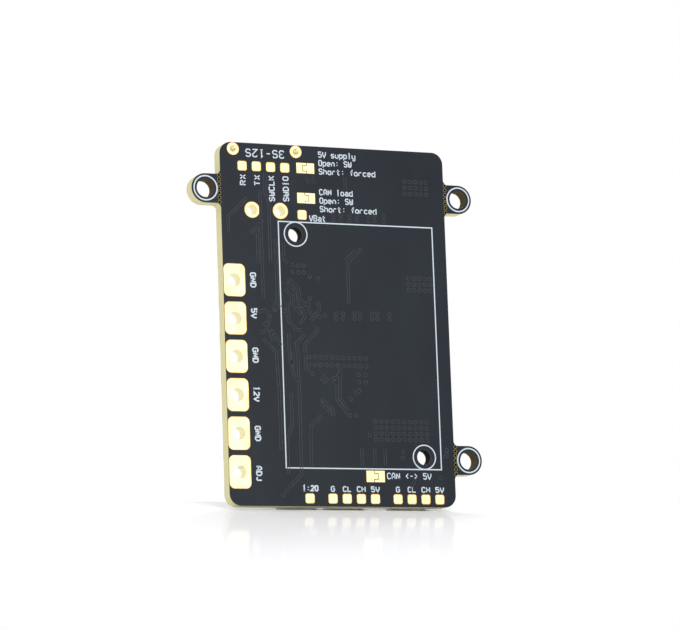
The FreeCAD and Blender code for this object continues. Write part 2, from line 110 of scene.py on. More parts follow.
# Letters of the legend on a grid 4 wide and 6 high, each drawn with a few strokes.
GLYPH_WIDTH = 4
GLYPH_HEIGHT = 6
GLYPH_PITCH = 6
BOWL = [(1, 0), (0, 1), (0, 3), (1, 4), (3, 4), (4, 3), (4, 1), (3, 0), (1, 0)]
LOOP = [(1, 0), (0, 1), (0, 5), (1, 6), (3, 6), (4, 5), (4, 1), (3, 0), (1, 0)]
GLYPHS = {
    "A": [[(0, 0), (0, 4), (1.4, 6), (2.6, 6), (4, 4), (4, 0)], [(0, 2.2), (4, 2.2)]],
    "B": [[(0, 0), (0, 6), (3, 6), (4, 5), (4, 4), (3, 3), (0, 3)],
          [(3, 3), (4, 2), (4, 1), (3, 0), (0, 0)]],
    "C": [[(4, 5), (3, 6), (1, 6), (0, 5), (0, 1), (1, 0), (3, 0), (4, 1)]],
    "D": [[(0, 0), (0, 6), (2.5, 6), (4, 4.5), (4, 1.5), (2.5, 0), (0, 0)]],
    "G": [[(4, 5), (3, 6), (1, 6), (0, 5), (0, 1), (1, 0), (3, 0), (4, 1), (4, 3), (2.3, 3)]],
    "H": [[(0, 0), (0, 6)], [(4, 0), (4, 6)], [(0, 3), (4, 3)]],
    "I": [[(1, 0), (3, 0)], [(1, 6), (3, 6)], [(2, 0), (2, 6)]],
    "J": [[(0, 1), (1, 0), (2.5, 0), (3.5, 1), (3.5, 6)]],
    "K": [[(0, 0), (0, 6)], [(4, 6), (0, 2.2)], [(1.3, 3.4), (4, 0)]],
    "L": [[(0, 6), (0, 0), (4, 0)]],
    "N": [[(0, 0), (0, 6)], [(0, 6), (4, 0)], [(4, 0), (4, 6)]],
    "O": [LOOP],
    "R": [[(0, 0), (0, 6), (3, 6), (4, 5), (4, 4), (3, 3), (0, 3)], [(2, 3), (4, 0)]],
    "S": [[(4, 5), (3, 6), (1, 6), (0, 5), (0, 4), (1, 3), (3, 3), (4, 2), (4, 1), (3, 0), (1, 0), (0, 1)]],
    "T": [[(0, 6), (4, 6)], [(2, 6), (2, 0)]],
    "V": [[(0, 6), (0, 3.5), (2, 0), (4, 3.5), (4, 6)]],
    "W": [[(0, 6), (0, 1), (1, 0), (2, 1.2), (3, 0), (4, 1), (4, 6)], [(2, 1.2), (2, 4)]],
    "X": [[(0, 0), (4, 6)], [(0, 6), (4, 0)]],
    "0": [LOOP],
    "1": [[(1, 5), (2, 6), (2, 0)], [(1, 0), (3, 0)]],
    "2": [[(0, 5), (1, 6), (3, 6), (4, 5), (4, 4), (0, 0), (4, 0)]],
    "3": [[(0, 5), (1, 6), (3, 6), (4, 5), (4, 4), (3, 3), (1.5, 3)],
          [(3, 3), (4, 2), (4, 1), (3, 0), (1, 0), (0, 1)]],
    "5": [[(4, 6), (0, 6), (0, 3.5), (3, 3.5), (4, 2.5), (4, 1), (3, 0), (1, 0), (0, 1)]],
    "-": [[(0.5, 3), (3.5, 3)]],
    ":": [[(2, 0.8), (2, 1.8)], [(2, 3.8), (2, 4.8)]],
    "<": [[(3.5, 5.5), (1, 3), (3.5, 0.5)]],
    ">": [[(0.5, 5.5), (3, 3), (0.5, 0.5)]],
    "a": [[(0.5, 4), (3, 4), (4, 3), (4, 0), (1, 0), (0, 1.1), (1, 2.3), (4, 2.3)]],
    "c": [[(4, 3.5), (3, 4), (1, 4), (0, 3), (0, 1), (1, 0), (3, 0), (4, 0.5)]],
    "d": [[(4, 6), (4, 0), (1, 0), (0, 1), (0, 3), (1, 4), (4, 4)]],
    "e": [[(0, 2), (4, 2), (4, 3), (3, 4), (1, 4), (0, 3), (0, 1), (1, 0), (3.5, 0)]],
    "f": [[(4, 6), (3, 6), (2, 5), (2, 0)], [(0.5, 3.5), (3.5, 3.5)]],
    "h": [[(0, 0), (0, 6)], [(0, 3), (1, 4), (3, 4), (4, 3), (4, 0)]],
    "l": [[(1, 6), (2, 6), (2, 0)], [(1, 0), (3, 0)]],
    "n": [[(0, 0), (0, 4)], [(0, 3), (1, 4), (3, 4), (4, 3), (4, 0)]],
    "o": [BOWL],
    "p": [[(0, -2), (0, 4), (3, 4), (4, 3), (4, 1), (3, 0), (0, 0)]],
    "r": [[(0, 0), (0, 4)], [(0, 2.8), (1.5, 4), (3.5, 4)]],
    "s": [[(4, 4), (1, 4), (0, 3), (1, 2), (3, 2), (4, 1), (3, 0), (0, 0)]],
    "t": [[(1.5, 6), (1.5, 1), (2.5, 0), (3.5, 0.3)], [(0, 4), (3.5, 4)]],
    "u": [[(0, 4), (0, 1), (1, 0), (3, 0), (4, 1)], [(4, 4), (4, 0)]],
    "y": [[(0, 4), (0, 1), (1, 0), (4, 0)], [(4, 4), (4, -1), (3, -2), (0.5, -2)]],
}

# ------------------------------------------------------------ mesh helpers

def corner(x, y, z):
    """A place given in millimetres, in metres."""
    return Vector((x, y, z)) * MM


def add_piece(name, bm, material):
    """A finished mesh becomes a piece that rides on the carrier."""
    mesh = bpy.data.meshes.new(name)
    bmesh.ops.recalc_face_normals(bm, faces=bm.faces)
    bm.to_mesh(mesh)
    bm.free()
    piece = bpy.data.objects.new(name, mesh)
    bpy.context.scene.collection.objects.link(piece)
    mesh.materials.append(material)
    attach(piece, CARRIER)


def add_shape(bm, shape):
    """A small shape made on its own joins the rest of a piece."""
    scratch = bpy.data.meshes.new("scratch")
    shape.to_mesh(scratch)
    shape.free()
    bm.from_mesh(scratch)
    bpy.data.meshes.remove(scratch)


def raise_outline(bm, points, face, rise):
    """A flat closed solid from an outline of (x, z) points, standing on a face of the plate."""
    shape = bmesh.new()
    base = face.height(-SINK)
    flat = shape.faces.new([shape.verts.new(corner(x, base, z)) for x, z in points])
    grown = bmesh.ops.extrude_face_region(shape, geom=[flat])["geom"]
    lifted = [item for item in grown if isinstance(item, bmesh.types.BMVert)]
    bmesh.ops.translate(shape, verts=lifted, vec=corner(0, face.height(rise) - base, 0))
    add_shape(bm, shape)


def offset_point(before, point, after, distance):
    """The point moved sideways to the left of a route, on the mitre of its two runs."""
    normals = []
    for start, end in ((before, point), (point, after)):
        if start == end:
            continue
        run = Vector(end) - Vector(start)
        normals.append(Vector((-run.y, run.x)).normalized())
    mitre = sum(normals, Vector((0, 0))).normalized()
    sharpest = 0.4
    return Vector(point) + mitre * (distance / max(mitre.dot(normals[0]), sharpest))


def beside(points, distance):
    """A route moved sideways by a distance. A route that ends where it starts stays closed."""
    last = len(points) - 1
    closed = points[0] == points[-1]
    moved = []
    for i, point in enumerate(points):
        before = points[max(i - 1, 0)]
        after = points[min(i + 1, last)]
        if closed and i in (0, last):
            before = points[-2]
            after = points[1]
        moved.append(tuple(offset_point(before, point, after, distance)))
    return moved


def ribbon(bm, points, width, face, rise):
    """A flat strip along a route of (x, z) points."""
    outline = beside(points, width / 2) + beside(points, -width / 2)[::-1]
    raise_outline(bm, outline, face, rise)


def frame_line(bm, low_x, high_x, low_z, high_z, width, face, rise):
    """A rectangle drawn with four strips that meet at the corners."""
    half = width / 2
    for x in (low_x, high_x):
        ribbon(bm, [(x, low_z - half), (x, high_z + half)], width, face, rise)
    for z in (low_z, high_z):
        ribbon(bm, [(low_x + half, z), (high_x - half, z)], width, face, rise)


def ring(bm, x, z, radius, width, face, rise, steps=64):
    """A flat ring spun from its cross-section."""
    inner = radius - width / 2
    outer = radius + width / 2
    base = face.height(-SINK)
    crest = face.height(rise)
    profile = [(inner, base), (outer, base), (outer, crest), (inner, crest)]
    shape = bmesh.new()
    section = [shape.verts.new(corner(x + u, y, z)) for u, y in profile]
    patch = shape.faces.new(section)
    turning = section + list(patch.edges)
    shape.faces.remove(patch)
    bmesh.ops.spin(shape, geom=turning, cent=corner(x, 0, z), axis=(0, 1, 0), angle=math.tau,
                   steps=steps, use_merge=True, use_duplicate=False)
    add_shape(bm, shape)


def via(bm, x, z, face):
    """The raised lip that a small plated hole leaves under the mask."""
    ring(bm, x, z, VIA_RADIUS, LIP, face, RELIEF_HEIGHT, steps=12)


def trace(bm, points, face, width):
    """The raised lips along both sides of a copper strip under the mask."""
    for side in (-1, 1):
        ribbon(bm, beside(points, side * width / 2), LIP, face, RELIEF_HEIGHT)


def grid_of(first, last, columns, rows):
    """Evenly spaced places between two opposite corners."""
    places = []
    for i in range(columns):
        for j in range(rows):
            x = first[0] + (last[0] - first[0]) * i / max(columns - 1, 1)
            z = first[1] + (last[1] - first[1]) * j / max(rows - 1, 1)
            places.append((x, z))
    return places


def shells_of(node):
    """The points, in millimetres, of each separate solid of a CAD node."""
    bm = bmesh.new()
    bm.from_mesh(frame["nodes"][node].data)
    bmesh.ops.remove_doubles(bm, verts=bm.verts, dist=1e-7)
    waiting = set(bm.verts)
    shells = []
    while waiting:
        search = [waiting.pop()]
        points = []
        while search:
            vert = search.pop()
            points.append(vert.co / MM)
            for link in vert.link_edges:
                other = link.other_vert(vert)
                if other in waiting:
                    waiting.remove(other)
                    search.append(other)
        shells.append(points)
    bm.free()
    shells.sort(key=lambda points: tuple(round(min(p[i] for p in points), 2) for i in (0, 2)))
    return shells


def bounds_of(points):
    """The lowest and highest corner of some points."""
    low = Vector([min(p[i] for p in points) for i in range(3)])
    high = Vector([max(p[i] for p in points) for i in range(3)])
    return low, high


def solids_of(node):
    """The lowest and highest corner of each separate solid of a CAD node."""
    return [bounds_of(points) for points in shells_of(node)]


def box_in_mm(node):
    low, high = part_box(node)
    return low / MM, high / MM


def mount_centre(name):
    return Vector(mounts[name]["pos_m"]) / MM


def ear_centres():
    upper = mount_centre("upper_ears")
    half = mounts["upper_ears"]["dims"]["spacing_x_mm"] / 2
    lower = mount_centre("lower_ear")
    return [(-half, upper.z), (half, upper.z), (lower.x, lower.z)]


def lettering(bm, text, x, z, length, height, face, turn=0.0, pen=LABEL_PEN):
    """Text centred on (x, z) that fits a length and a height. Turn is in degrees, anticlockwise."""
    wide = GLYPH_PITCH * (len(text) - 1) + GLYPH_WIDTH
    spin = Matrix.Rotation(math.radians(turn), 2)
    for i, letter in enumerate(text):
        for stroke in GLYPHS.get(letter, []):
            route = []
            for u, v in stroke:
                across = (u + GLYPH_PITCH * i - wide / 2) * (length - pen) / wide
                up = (v - GLYPH_HEIGHT / 2) * (height - pen) / GLYPH_HEIGHT
                place = spin @ Vector((across, up))
                route.append((x + face.right * place.x, z + place.y))
            ribbon(bm, route, pen, face, INK_HEIGHT)


# ------------------------------------------------------------ shader helpers

class Socket:
    """An output of a node graph that can be used in arithmetic."""

    def __init__(self, graph, output):
        self.graph = graph
        self.output = output

    def math(self, operation, *values, clamp=False):
        settings = {"operation": operation, "use_clamp": clamp}
        return self.graph.node("ShaderNodeMath", settings, dict(enumerate(values)))

    def __add__(self, other):
        return self.math("ADD", self, other)

    def __radd__(self, other):
        return self.math("ADD", other, self)

    def __sub__(self, other):
        return self.math("SUBTRACT", self, other)

    def __rsub__(self, other):
        return self.math("SUBTRACT", other, self)

    def __mul__(self, other):
        return self.math("MULTIPLY", self, other)

    def __rmul__(self, other):
        return self.math("MULTIPLY", other, self)

    def __truediv__(self, other):
        return self.math("DIVIDE", self, other)

    def __gt__(self, other):
        return self.math("GREATER_THAN", self, other)

    def __lt__(self, other):
        return self.math("LESS_THAN", self, other)

    def clamped(self):
        return self.math("ADD", self, 0.0, clamp=True)


class Graph:
    """The node tree of one material."""

    def __init__(self, name):
        self.material = bpy.data.materials.new(name)
        self.material.use_nodes = True
        self.tree = self.material.node_tree
        self.tree.nodes.clear()

    def node(self, kind, settings=None, inputs=None, output=0):
        made = self.tree.nodes.new(kind)
        for name, value in (settings or {}).items():
            setattr(made, name, value)
        for key, value in (inputs or {}).items():
            if isinstance(value, Socket):
                self.tree.links.new(value.output, made.inputs[key])
            else:
                made.inputs[key].default_value = value
        return Socket(self, made.outputs[output])

    def position(self):
        """Object coordinates in millimetres."""
        metres = self.node("ShaderNodeTexCoord", output="Object")
        return self.node("ShaderNodeVectorMath", {"operation": "SCALE"}, {0: metres, "Scale": 1 / MM})

    def axis(self, place, name):
        return self.node("ShaderNodeSeparateXYZ", inputs={0: place}, output=name)

    def stretched(self, place, sizes):
        return self.node("ShaderNodeVectorMath", {"operation": "MULTIPLY"}, {0: place, 1: sizes})

    def noise(self, place, scale, detail=4.0, roughness=0.55, distortion=0.0):
        inputs = {"Vector": place, "Scale": scale, "Detail": detail, "Roughness": roughness,
                  "Distortion": distortion}
        return self.node("ShaderNodeTexNoise", {}, inputs)

    def cells(self, place, scale):
        return self.node("ShaderNodeTexVoronoi", {}, {"Vector": place, "Scale": scale}, "Distance")

    def away_from(self, value, place):
        """How far a value is from a place, either way."""
        gap = value - place
        return gap.math("ABSOLUTE", gap)

    def distance(self, x, z, centre_x, centre_z):
        """How far (x, z) is from the axis of a round hole."""
        along_x = x - centre_x
        along_z = z - centre_z
        return x.math("SQRT", along_x * along_x + along_z * along_z)

    def blend(self, factor, first, second):
        """Between two colours."""
        inputs = {0: factor, 6: first, 7: second}
        return self.node("ShaderNodeMix", {"data_type": "RGBA"}, inputs, 2)

    def mottled(self, noise, low, high):
        """Two colours mixed by a noise."""
        return self.blend(spread(noise, 0.0, 1.0).clamped(), low, high)

    def bump(self, height, strength, distance, under=None):
        inputs = {"Height": height, "Strength": strength, "Distance": distance * MM}
        if under is not None:
            inputs["Normal"] = under
        return self.node("ShaderNodeBump", {}, inputs)

    def surface(self, colour, rough, normal, metallic=0.0, specular=0.5):
        inputs = {"Base Color": colour, "Roughness": rough, "Normal": normal, "Metallic": metallic,
                  "Specular IOR Level": specular}
        return self.finish(self.node("ShaderNodeBsdfPrincipled", {}, inputs))

    def finish(self, shader):
        end = self.tree.nodes.new("ShaderNodeOutputMaterial")
        self.tree.links.new(shader.output, end.inputs["Surface"])
        return self.material


def tone(red, green, blue):
    return (red, green, blue, 1.0)


NOISE_LOW = 0.3
NOISE_SPAN = 0.4


def spread(noise, low, high):
    """A noise value stretched to run from low to high."""
    return (noise - NOISE_LOW) * ((high - low) / NOISE_SPAN) + low


# ------------------------------------------------------------ materials

MASK_DARK = tone(0.0012, 0.0040, 0.0085)
MASK_LIGHT = tone(0.0040, 0.0080, 0.0130)
MASK_SPECK = tone(0.014, 0.018, 0.023)
# Partly painted highlight: the tone of mask over copper, partly its own tint and partly painted light on the
# raised lips.
MASK_LIP_TINT_AND_SHEEN = tone(0.033, 0.037, 0.042)
MASK_SPECULAR = 0.22
MASK_SKIN = 0.035
WEAVE_TURN = 9.2

STRAW_EDGE = tone(0.60, 0.56, 0.30)
PALE_EDGE = tone(0.70, 0.665, 0.40)
EDGE_FLECK = tone(0.46, 0.42, 0.20)
EDGE_LAYER = tone(0.34, 0.22, 0.10)
LAYER_PITCH = 0.6
# Painted shade: the module hole walls are painted near black, with a lighter grey band near the solder face
# where light reaches in.
MODULE_WALL_SHADE = tone(0.001, 0.001, 0.001)
MODULE_WALL_LIT_BAND = tone(0.075, 0.077, 0.078)
MODULE_LIT_BAND_DEPTH = 0.55
# Painted shade: the ear hole walls are the laminate painted dark brown for the shadow inside the holes.
EAR_WALL_SHADE_DARK = tone(0.040, 0.026, 0.008)
EAR_WALL_SHADE_LIGHT = tone(0.15, 0.105, 0.030)
WALL_MARGIN = 0.15
# Painted shade: the snap-off hole walls are the laminate painted near black.
SNAP_WALL_SHADE = tone(0.010, 0.007, 0.003)
POCKET_WALL = tone(0.10, 0.045, 0.016)


def mask_look(graph, place):
    """Colour, roughness and normal of matt black solder mask."""
    cloud = graph.noise(graph.stretched(place, (1, 1, 0.5)), 0.12, 3.0)
    speck = graph.noise(place, 7.0, 2.0)
    colour = graph.mottled(cloud, MASK_DARK, MASK_LIGHT)
    colour = graph.blend(spread(speck, 0.0, 0.25).clamped(), colour, MASK_SPECK)
    rough = spread(graph.noise(place, 2.2, 5.0), 0.40, 0.52)
    weave_x = graph.axis(place, "X").math("SINE", graph.axis(place, "X") * WEAVE_TURN)
    weave_z = graph.axis(place, "Z").math("SINE", graph.axis(place, "Z") * WEAVE_TURN)
    cloth = graph.bump(weave_x * weave_z, 0.05, 0.004)
    peel = graph.bump(graph.noise(place, 5.5, 6.0), 0.22, 0.012, cloth)
    return colour, rough, peel


def any_of(tests):
    """True where at least one test is true."""
    return sum(tests[1:], tests[0]).clamped()


def near_holes(graph, x, z, centres, reach):
    return any_of([graph.distance(x, z, *centre) < reach for centre in centres])


def laminate():
    """Masked faces; cut edges and hole walls show the woven glass board, with painted shade darkening the
    walls of the module, ear and snap-off holes.
    """
    graph = Graph("laminate")
    place = graph.position()
    x, y, z = (graph.axis(place, name) for name in "XYZ")
    on_face = any_of([y < MASK_SKIN, y > PLATE_THICKNESS - MASK_SKIN])
    mask_colour, mask_rough, mask_normal = mask_look(graph, place)

    fibres = graph.noise(graph.stretched(place, (0.9, 9.0, 0.9)), 3.0, 5.0)
    fleck = graph.noise(place, 9.0, 3.0)
    edge = graph.mottled(fibres, STRAW_EDGE, PALE_EDGE)
    edge = graph.blend(spread(fleck, -0.5, 0.4).clamped(), edge, EDGE_FLECK)
    layers = y.math("SINE", y * (math.tau / LAYER_PITCH))
    edge = graph.blend(((layers - 0.93) * 4.0).clamped() * 0.3, edge, EDGE_LAYER)

    module_holes = [mount_centre(name).xz for name in ("module_hole_upper", "module_hole_lower")]
    module_reach = mounts["module_hole_upper"]["dims"]["r_mm"] + WALL_MARGIN
    # Painted shade inside the module holes: near black, lighter near the solder face.
    module_wall_shade = graph.blend(y < MODULE_LIT_BAND_DEPTH, MODULE_WALL_SHADE, MODULE_WALL_LIT_BAND)
    edge = graph.blend(near_holes(graph, x, z, module_holes, module_reach), edge, module_wall_shade)
    # Painted shade inside the ear holes.
    ear_reach = mounts["lower_ear"]["dims"]["r_mm"] + WALL_MARGIN
    ear_wall_shade = graph.mottled(fibres, EAR_WALL_SHADE_DARK, EAR_WALL_SHADE_LIGHT)
    edge = graph.blend(near_holes(graph, x, z, ear_centres(), ear_reach), edge, ear_wall_shade)

    # Painted shade on the walls of the snap-off holes.
    ear_level = mount_centre("upper_ears").z
    from_column = graph.away_from(graph.away_from(x, 0.0), PLATE_HALF_WIDTH + SNAP_OFFSET)
    from_ear = graph.away_from(graph.away_from(z, 0.0), ear_level)
    edge = graph.blend((from_column < SNAP_HALF_WIDTH) * (from_ear < SNAP_REACH), edge, SNAP_WALL_SHADE)
    in_pocket = (y < POCKET_DEPTH + 0.02) * (y > MASK_SKIN)
    edge = graph.blend(in_pocket, edge, POCKET_WALL)

    colour = graph.blend(on_face, edge, mask_colour)
    rough = mask_rough * on_face + (1.0 - on_face) * spread(fleck, 0.80, 0.98)
    grain = graph.bump(fibres, 0.35, 0.03)
    normal = graph.node("ShaderNodeMix", {"data_type": "VECTOR"}, {0: on_face, 4: grain, 5: mask_normal}, 1)
    return graph.surface(colour, rough, normal, specular=MASK_SPECULAR)


def mask_over_copper():
    """Mask that is lighter where the copper under it lifts it: partly its own tint over copper, partly a
    painted highlight on the raised lips.
    """
    graph = Graph("mask_over_copper")
    place = graph.position()
    colour, rough, normal = mask_look(graph, place)
    # Lighter in patches: partly tint over copper, partly a painted highlight.
    lip_tint_and_sheen = spread(graph.noise(place, 1.3, 4.0), 0.35, 1.0).clamped()
    return graph.surface(graph.blend(lip_tint_and_sheen, colour, MASK_LIP_TINT_AND_SHEEN), rough, normal, specular=MASK_SPECULAR)


def ink():
    graph = Graph("legend_ink")
    place = graph.position()
    mottle = graph.noise(place, 6.0, 4.0)
    colour = graph.mottled(mottle, tone(0.33, 0.38, 0.43), tone(0.43, 0.49, 0.54))
    rough = spread(mottle, 0.5, 0.7)
    normal = graph.bump(graph.noise(place, 18.0, 3.0), 0.3, 0.01)
    return graph.surface(colour, rough, normal)


def bare_glass():
    """Glass laminate with its mask chipped away."""
    graph = Graph("bare_glass")
    place = graph.position()
    chips = graph.noise(place, 5.0, 5.0)
    colour = graph.mottled(chips, tone(0.06, 0.045, 0.012), tone(0.25, 0.20, 0.055))
    normal = graph.bump(chips, 0.4, 0.02)
    return graph.surface(colour, spread(chips, 0.5, 0.75), normal)


def gold(name, low, high):
    graph = Graph(name)
    place = graph.position()
    haze = graph.noise(place, 0.5, 3.0)
    pits = graph.noise(place, 16.0, 3.0)
    colour = graph.mottled(haze, low, high)
    rough = spread(haze, 0.30, 0.40)
    normal = graph.bump(pits, 0.16, 0.01)
    return graph.surface(colour, rough, normal, metallic=1.0)


def bright_metal(name, low, high, rough_low, rough_high, grain=(1, 1, 1), depth=0.012):
    """Plated or drawn metal with a fine grain that may run one way."""
    graph = Graph(name)
    place = graph.stretched(graph.position(), grain)
    haze = graph.noise(place, 2.5, 6.0)
    fine = graph.noise(place, 14.0, 4.0)
    colour = graph.mottled(haze, low, high)
    rough = spread(fine, rough_low, rough_high)
    normal = graph.bump(fine, 0.25, depth)
    return graph.surface(colour, rough, normal, metallic=1.0)


def moulded(name, low, high, rough_low=0.42, rough_high=0.6, scale=9.0, strength=0.3, depth=0.02):
    """Moulded plastic: a fine spark-eroded grain with slight flow marks."""
    graph = Graph(name)
    place = graph.position()
    flow = graph.noise(graph.stretched(place, (1.0, 0.3, 1.0)), 0.9, 3.0, distortion=0.6)
    grain = graph.noise(place, scale, 4.0)
    colour = graph.mottled(flow, low, high)
    rough = spread(grain, rough_low, rough_high)
    normal = graph.bump(grain, strength, depth)
    return graph.surface(colour, rough, normal)


def pressed_iron():
    """Grey pressed powder with brighter grains."""
    graph = Graph("pressed_iron")
    place = graph.position()
    cell = graph.cells(place, 6.5)
    cloud = graph.noise(place, 1.1, 5.0)
    colour = graph.mottled(cloud, tone(0.045, 0.046, 0.048), tone(0.085, 0.086, 0.088))
    colour = graph.blend(((0.22 - cell) * 4.0).clamped() * 0.6, colour, tone(0.20, 0.20, 0.20))
    rough = spread(cloud, 0.45, 0.65)
    normal = graph.bump(cell, 0.35, 0.05, graph.bump(graph.noise(place, 12.0, 4.0), 0.25, 0.03))
    return graph.surface(colour, rough, normal)


def fired(name, low, high, rough=0.35):
    """Fired ceramic: fine mottling and a soft shine."""
    graph = Graph(name)
    place = graph.position()
    mottle = graph.noise(place, 3.5, 6.0)
    fine = graph.noise(place, 15.0, 3.0)
    colour = graph.mottled(mottle, low, high)
    normal = graph.bump(fine, 0.25, 0.012)
    return graph.surface(colour, spread(fine, rough, rough + 0.18), normal)


def film(name, film_level):
    """A white ceramic chip whose upper side carries a black glazed film."""
    graph = Graph(name)
    place = graph.position()
    on_top = graph.axis(place, "Y") > film_level
    mottle = graph.noise(place, 6.0, 5.0)
    side = graph.mottled(mottle, tone(0.62, 0.60, 0.55), tone(0.78, 0.76, 0.70))
    glaze = graph.mottled(mottle, tone(0.010, 0.010, 0.012), tone(0.025, 0.025, 0.028))
    colour = graph.blend(on_top, side, glaze)
    rough = (1.0 - on_top) * 0.25 + spread(mottle, 0.28, 0.42)
    normal = graph.bump(graph.noise(place, 10.0, 3.0), 0.2, 0.012)
    return graph.surface(colour, rough, normal)


def resin():
    graph = Graph("lens_resin")
    place = graph.position()
    swirl = graph.noise(place, 4.0, 4.0)
    colour = graph.mottled(swirl, tone(0.78, 0.70, 0.30), tone(0.92, 0.88, 0.58))
    normal = graph.bump(swirl, 0.1, 0.01)
    return graph.surface(colour, spread(swirl, 0.10, 0.22), normal)


LAMINATE = laminate()
COPPER_MASK = mask_over_copper()
INK = ink()
GOLD = gold("gold_plating", tone(0.90, 0.80, 0.42), tone(0.94, 0.86, 0.50))
# Painted shade: the land rims are gold painted darker and more orange, for the darker reflection of the
# bevelled land edges.
RIM_SHADE_GOLD = gold("gold_rim_shade", tone(0.78, 0.50, 0.20), tone(0.86, 0.62, 0.28))
BARE_GLASS = bare_glass()
TIN = bright_metal("tin_plating", tone(0.60, 0.60, 0.58), tone(0.80, 0.80, 0.77), 0.24, 0.40)
SOLDER_METAL = bright_metal("solder", tone(0.62, 0.62, 0.61), tone(0.82, 0.82, 0.80), 0.14, 0.28, depth=0.006)
STEEL = bright_metal("drawn_steel", tone(0.50, 0.50, 0.49), tone(0.68, 0.68, 0.66), 0.26, 0.42, (1, 1, 6))
BRASS = bright_metal("turned_brass", tone(0.58, 0.42, 0.18), tone(0.78, 0.62, 0.32), 0.22, 0.38)
PACKAGE = moulded("package_epoxy", tone(0.012, 0.012, 0.013), tone(0.022, 0.022, 0.023), 0.45, 0.62)
SHELL = moulded("connector_nylon", tone(0.012, 0.012, 0.012), tone(0.024, 0.023, 0.022), 0.34, 0.5, 5.0)
SWITCH_SHELL = moulded("switch_nylon", tone(0.014, 0.014, 0.015), tone(0.026, 0.026, 0.028), 0.36, 0.52, 6.0)
KNOB = moulded("knob_nylon", tone(0.72, 0.71, 0.66), tone(0.84, 0.83, 0.78), 0.30, 0.45, 7.0)
PLUNGER = moulded("plunger_nylon", tone(0.018, 0.018, 0.018), tone(0.035, 0.035, 0.034), 0.30, 0.44, 8.0)
TRIMMER = moulded("trimmer_case", tone(0.60, 0.60, 0.56), tone(0.74, 0.73, 0.68), 0.40, 0.56, 8.0)
IRON = pressed_iron()
CERAMIC = fired("capacitor_ceramic", tone(0.25, 0.155, 0.085), tone(0.36, 0.24, 0.14))
WHITE_CERAMIC = fired("white_ceramic", tone(0.66, 0.64, 0.57), tone(0.80, 0.78, 0.72), 0.4)
CHIP_FILM_LEVEL = PLATE_THICKNESS + 0.44
SHUNT_FILM_LEVEL = PLATE_THICKNESS + 0.72
CHIP_FILM = film("resistor_film", CHIP_FILM_LEVEL)
SHUNT_FILM = film("shunt_film", SHUNT_FILM_LEVEL)
RESIN = resin()

FINISHES = {
    "laminate": LAMINATE, "gold": GOLD, "connector_shell": SHELL, "tin": TIN, "package": PACKAGE,
    "switch_shell": SWITCH_SHELL, "knob": KNOB, "coil_block": IRON, "ceramic": CERAMIC,
    "resistor_film": CHIP_FILM, "white_ceramic": WHITE_CERAMIC, "steel": STEEL,
    "trimmer_case": TRIMMER, "brass": BRASS, "plunger": PLUNGER, "lens": RESIN,
}


def dress_nodes():
    """Every CAD node gets the finish of its material slot."""
    for part in frame["record"]["subparts"]:
        piece = frame["nodes"][part["node"]]
        finish = SHUNT_FILM if part["node"] == "shunt" else FINISHES[part["material_slot"]]
        for slot in piece.material_slots:
            slot.material = finish


# ------------------------------------------------------------ solder side

SEAT_RING = 2.03
SEAT_MARGIN_X = 3.05
SEAT_MARGIN_Z = 2.06


def printed_seat(bm):
    """The module's outline, and a ring round each of its two screw holes."""
    upper = mount_centre("module_hole_upper")
    lower = mount_centre("module_hole_lower")
    frame_line(bm, upper.x - SEAT_MARGIN_X, lower.x + SEAT_MARGIN_X,
               lower.z - SEAT_MARGIN_Z, upper.z + SEAT_MARGIN_Z, INK_WIDTH, SOLDER, INK_HEIGHT)
    for centre in (upper, lower):
        ring(bm, centre.x, centre.z, SEAT_RING, INK_WIDTH, SOLDER, INK_HEIGHT * 1.1)


def printed_ears(bm, face):
    for x, z in ear_centres():
        ring(bm, x, z, SEAT_RING, INK_WIDTH * 1.15, face, INK_HEIGHT)


def printed_snap_rims(bm, face):
    """Bare laminate round the snap-off holes."""
    for ear_x, ear_z in ear_centres():
        x = math.copysign(PLATE_HALF_WIDTH + SNAP_OFFSET, ear_x)
        for i in range(SNAP_COUNT):
            z = ear_z + (i - (SNAP_COUNT - 1) / 2) * SNAP_PITCH
            ring(bm, x, z, SNAP_RIM_RADIUS, SNAP_RIM_WIDTH, face, RIM_HEIGHT, steps=12)


def rounded_route(low, high, inset, radius):
    """A closed route just inside the edge of a land with round corners."""
    steps = 4
    reach = radius - inset
    route = []
    for start, x, z in ((0, high.x - radius, high.z - radius), (90, low.x + radius, high.z - radius),
                        (180, low.x + radius, low.z + radius), (270, high.x - radius, low.z + radius)):
        for i in range(steps + 1):
            angle = math.radians(start + 90 * i / steps)
            route.append((x + reach * math.cos(angle), z + reach * math.sin(angle)))
    return route + [route[0]]


def land_rims():
    """The edge of each land, where the plating turns down, painted a darker orange gold as painted shade."""
    rims = bmesh.new()
    for node in ("debug_lands", "signal_lands_left", "signal_lands_middle", "signal_lands_right",
                 "battery_sense_land"):
        for low, high in solids_of(node):
            ribbon(rims, rounded_route(low, high, LAND_RIM / 2, SMALL_CORNER), LAND_RIM, SOLDER, RIM_HEIGHT)
    for low, high in solids_of("output_lands"):
        for face in (SOLDER, PARTS):
            ribbon(rims, rounded_route(low, high, LAND_RIM / 2, OUTPUT_CORNER), LAND_RIM, face, RIM_HEIGHT)
    for node in ("battery_leg_lands", "battery_pin_lands"):
        for low, high in solids_of(node):
            centre = (low + high) / 2
            radius = (high.x - low.x - LAND_RIM) / 2
            for face in (SOLDER, PARTS):
                ring(rims, centre.x, centre.z, radius, LAND_RIM, face, RIM_HEIGHT, steps=40)
    add_piece("land_rims", rims, RIM_SHADE_GOLD)


def land_row(node):
    """Centres of a node's lands from left to right, or from the top down in a column."""
    centres = [(low + high) / 2 for low, high in solids_of(node)]
    low, high = bounds_of(centres)
    tall = high.z - low.z > high.x - low.x
    return sorted(centres, key=lambda c: -c.z if tall else c.x)


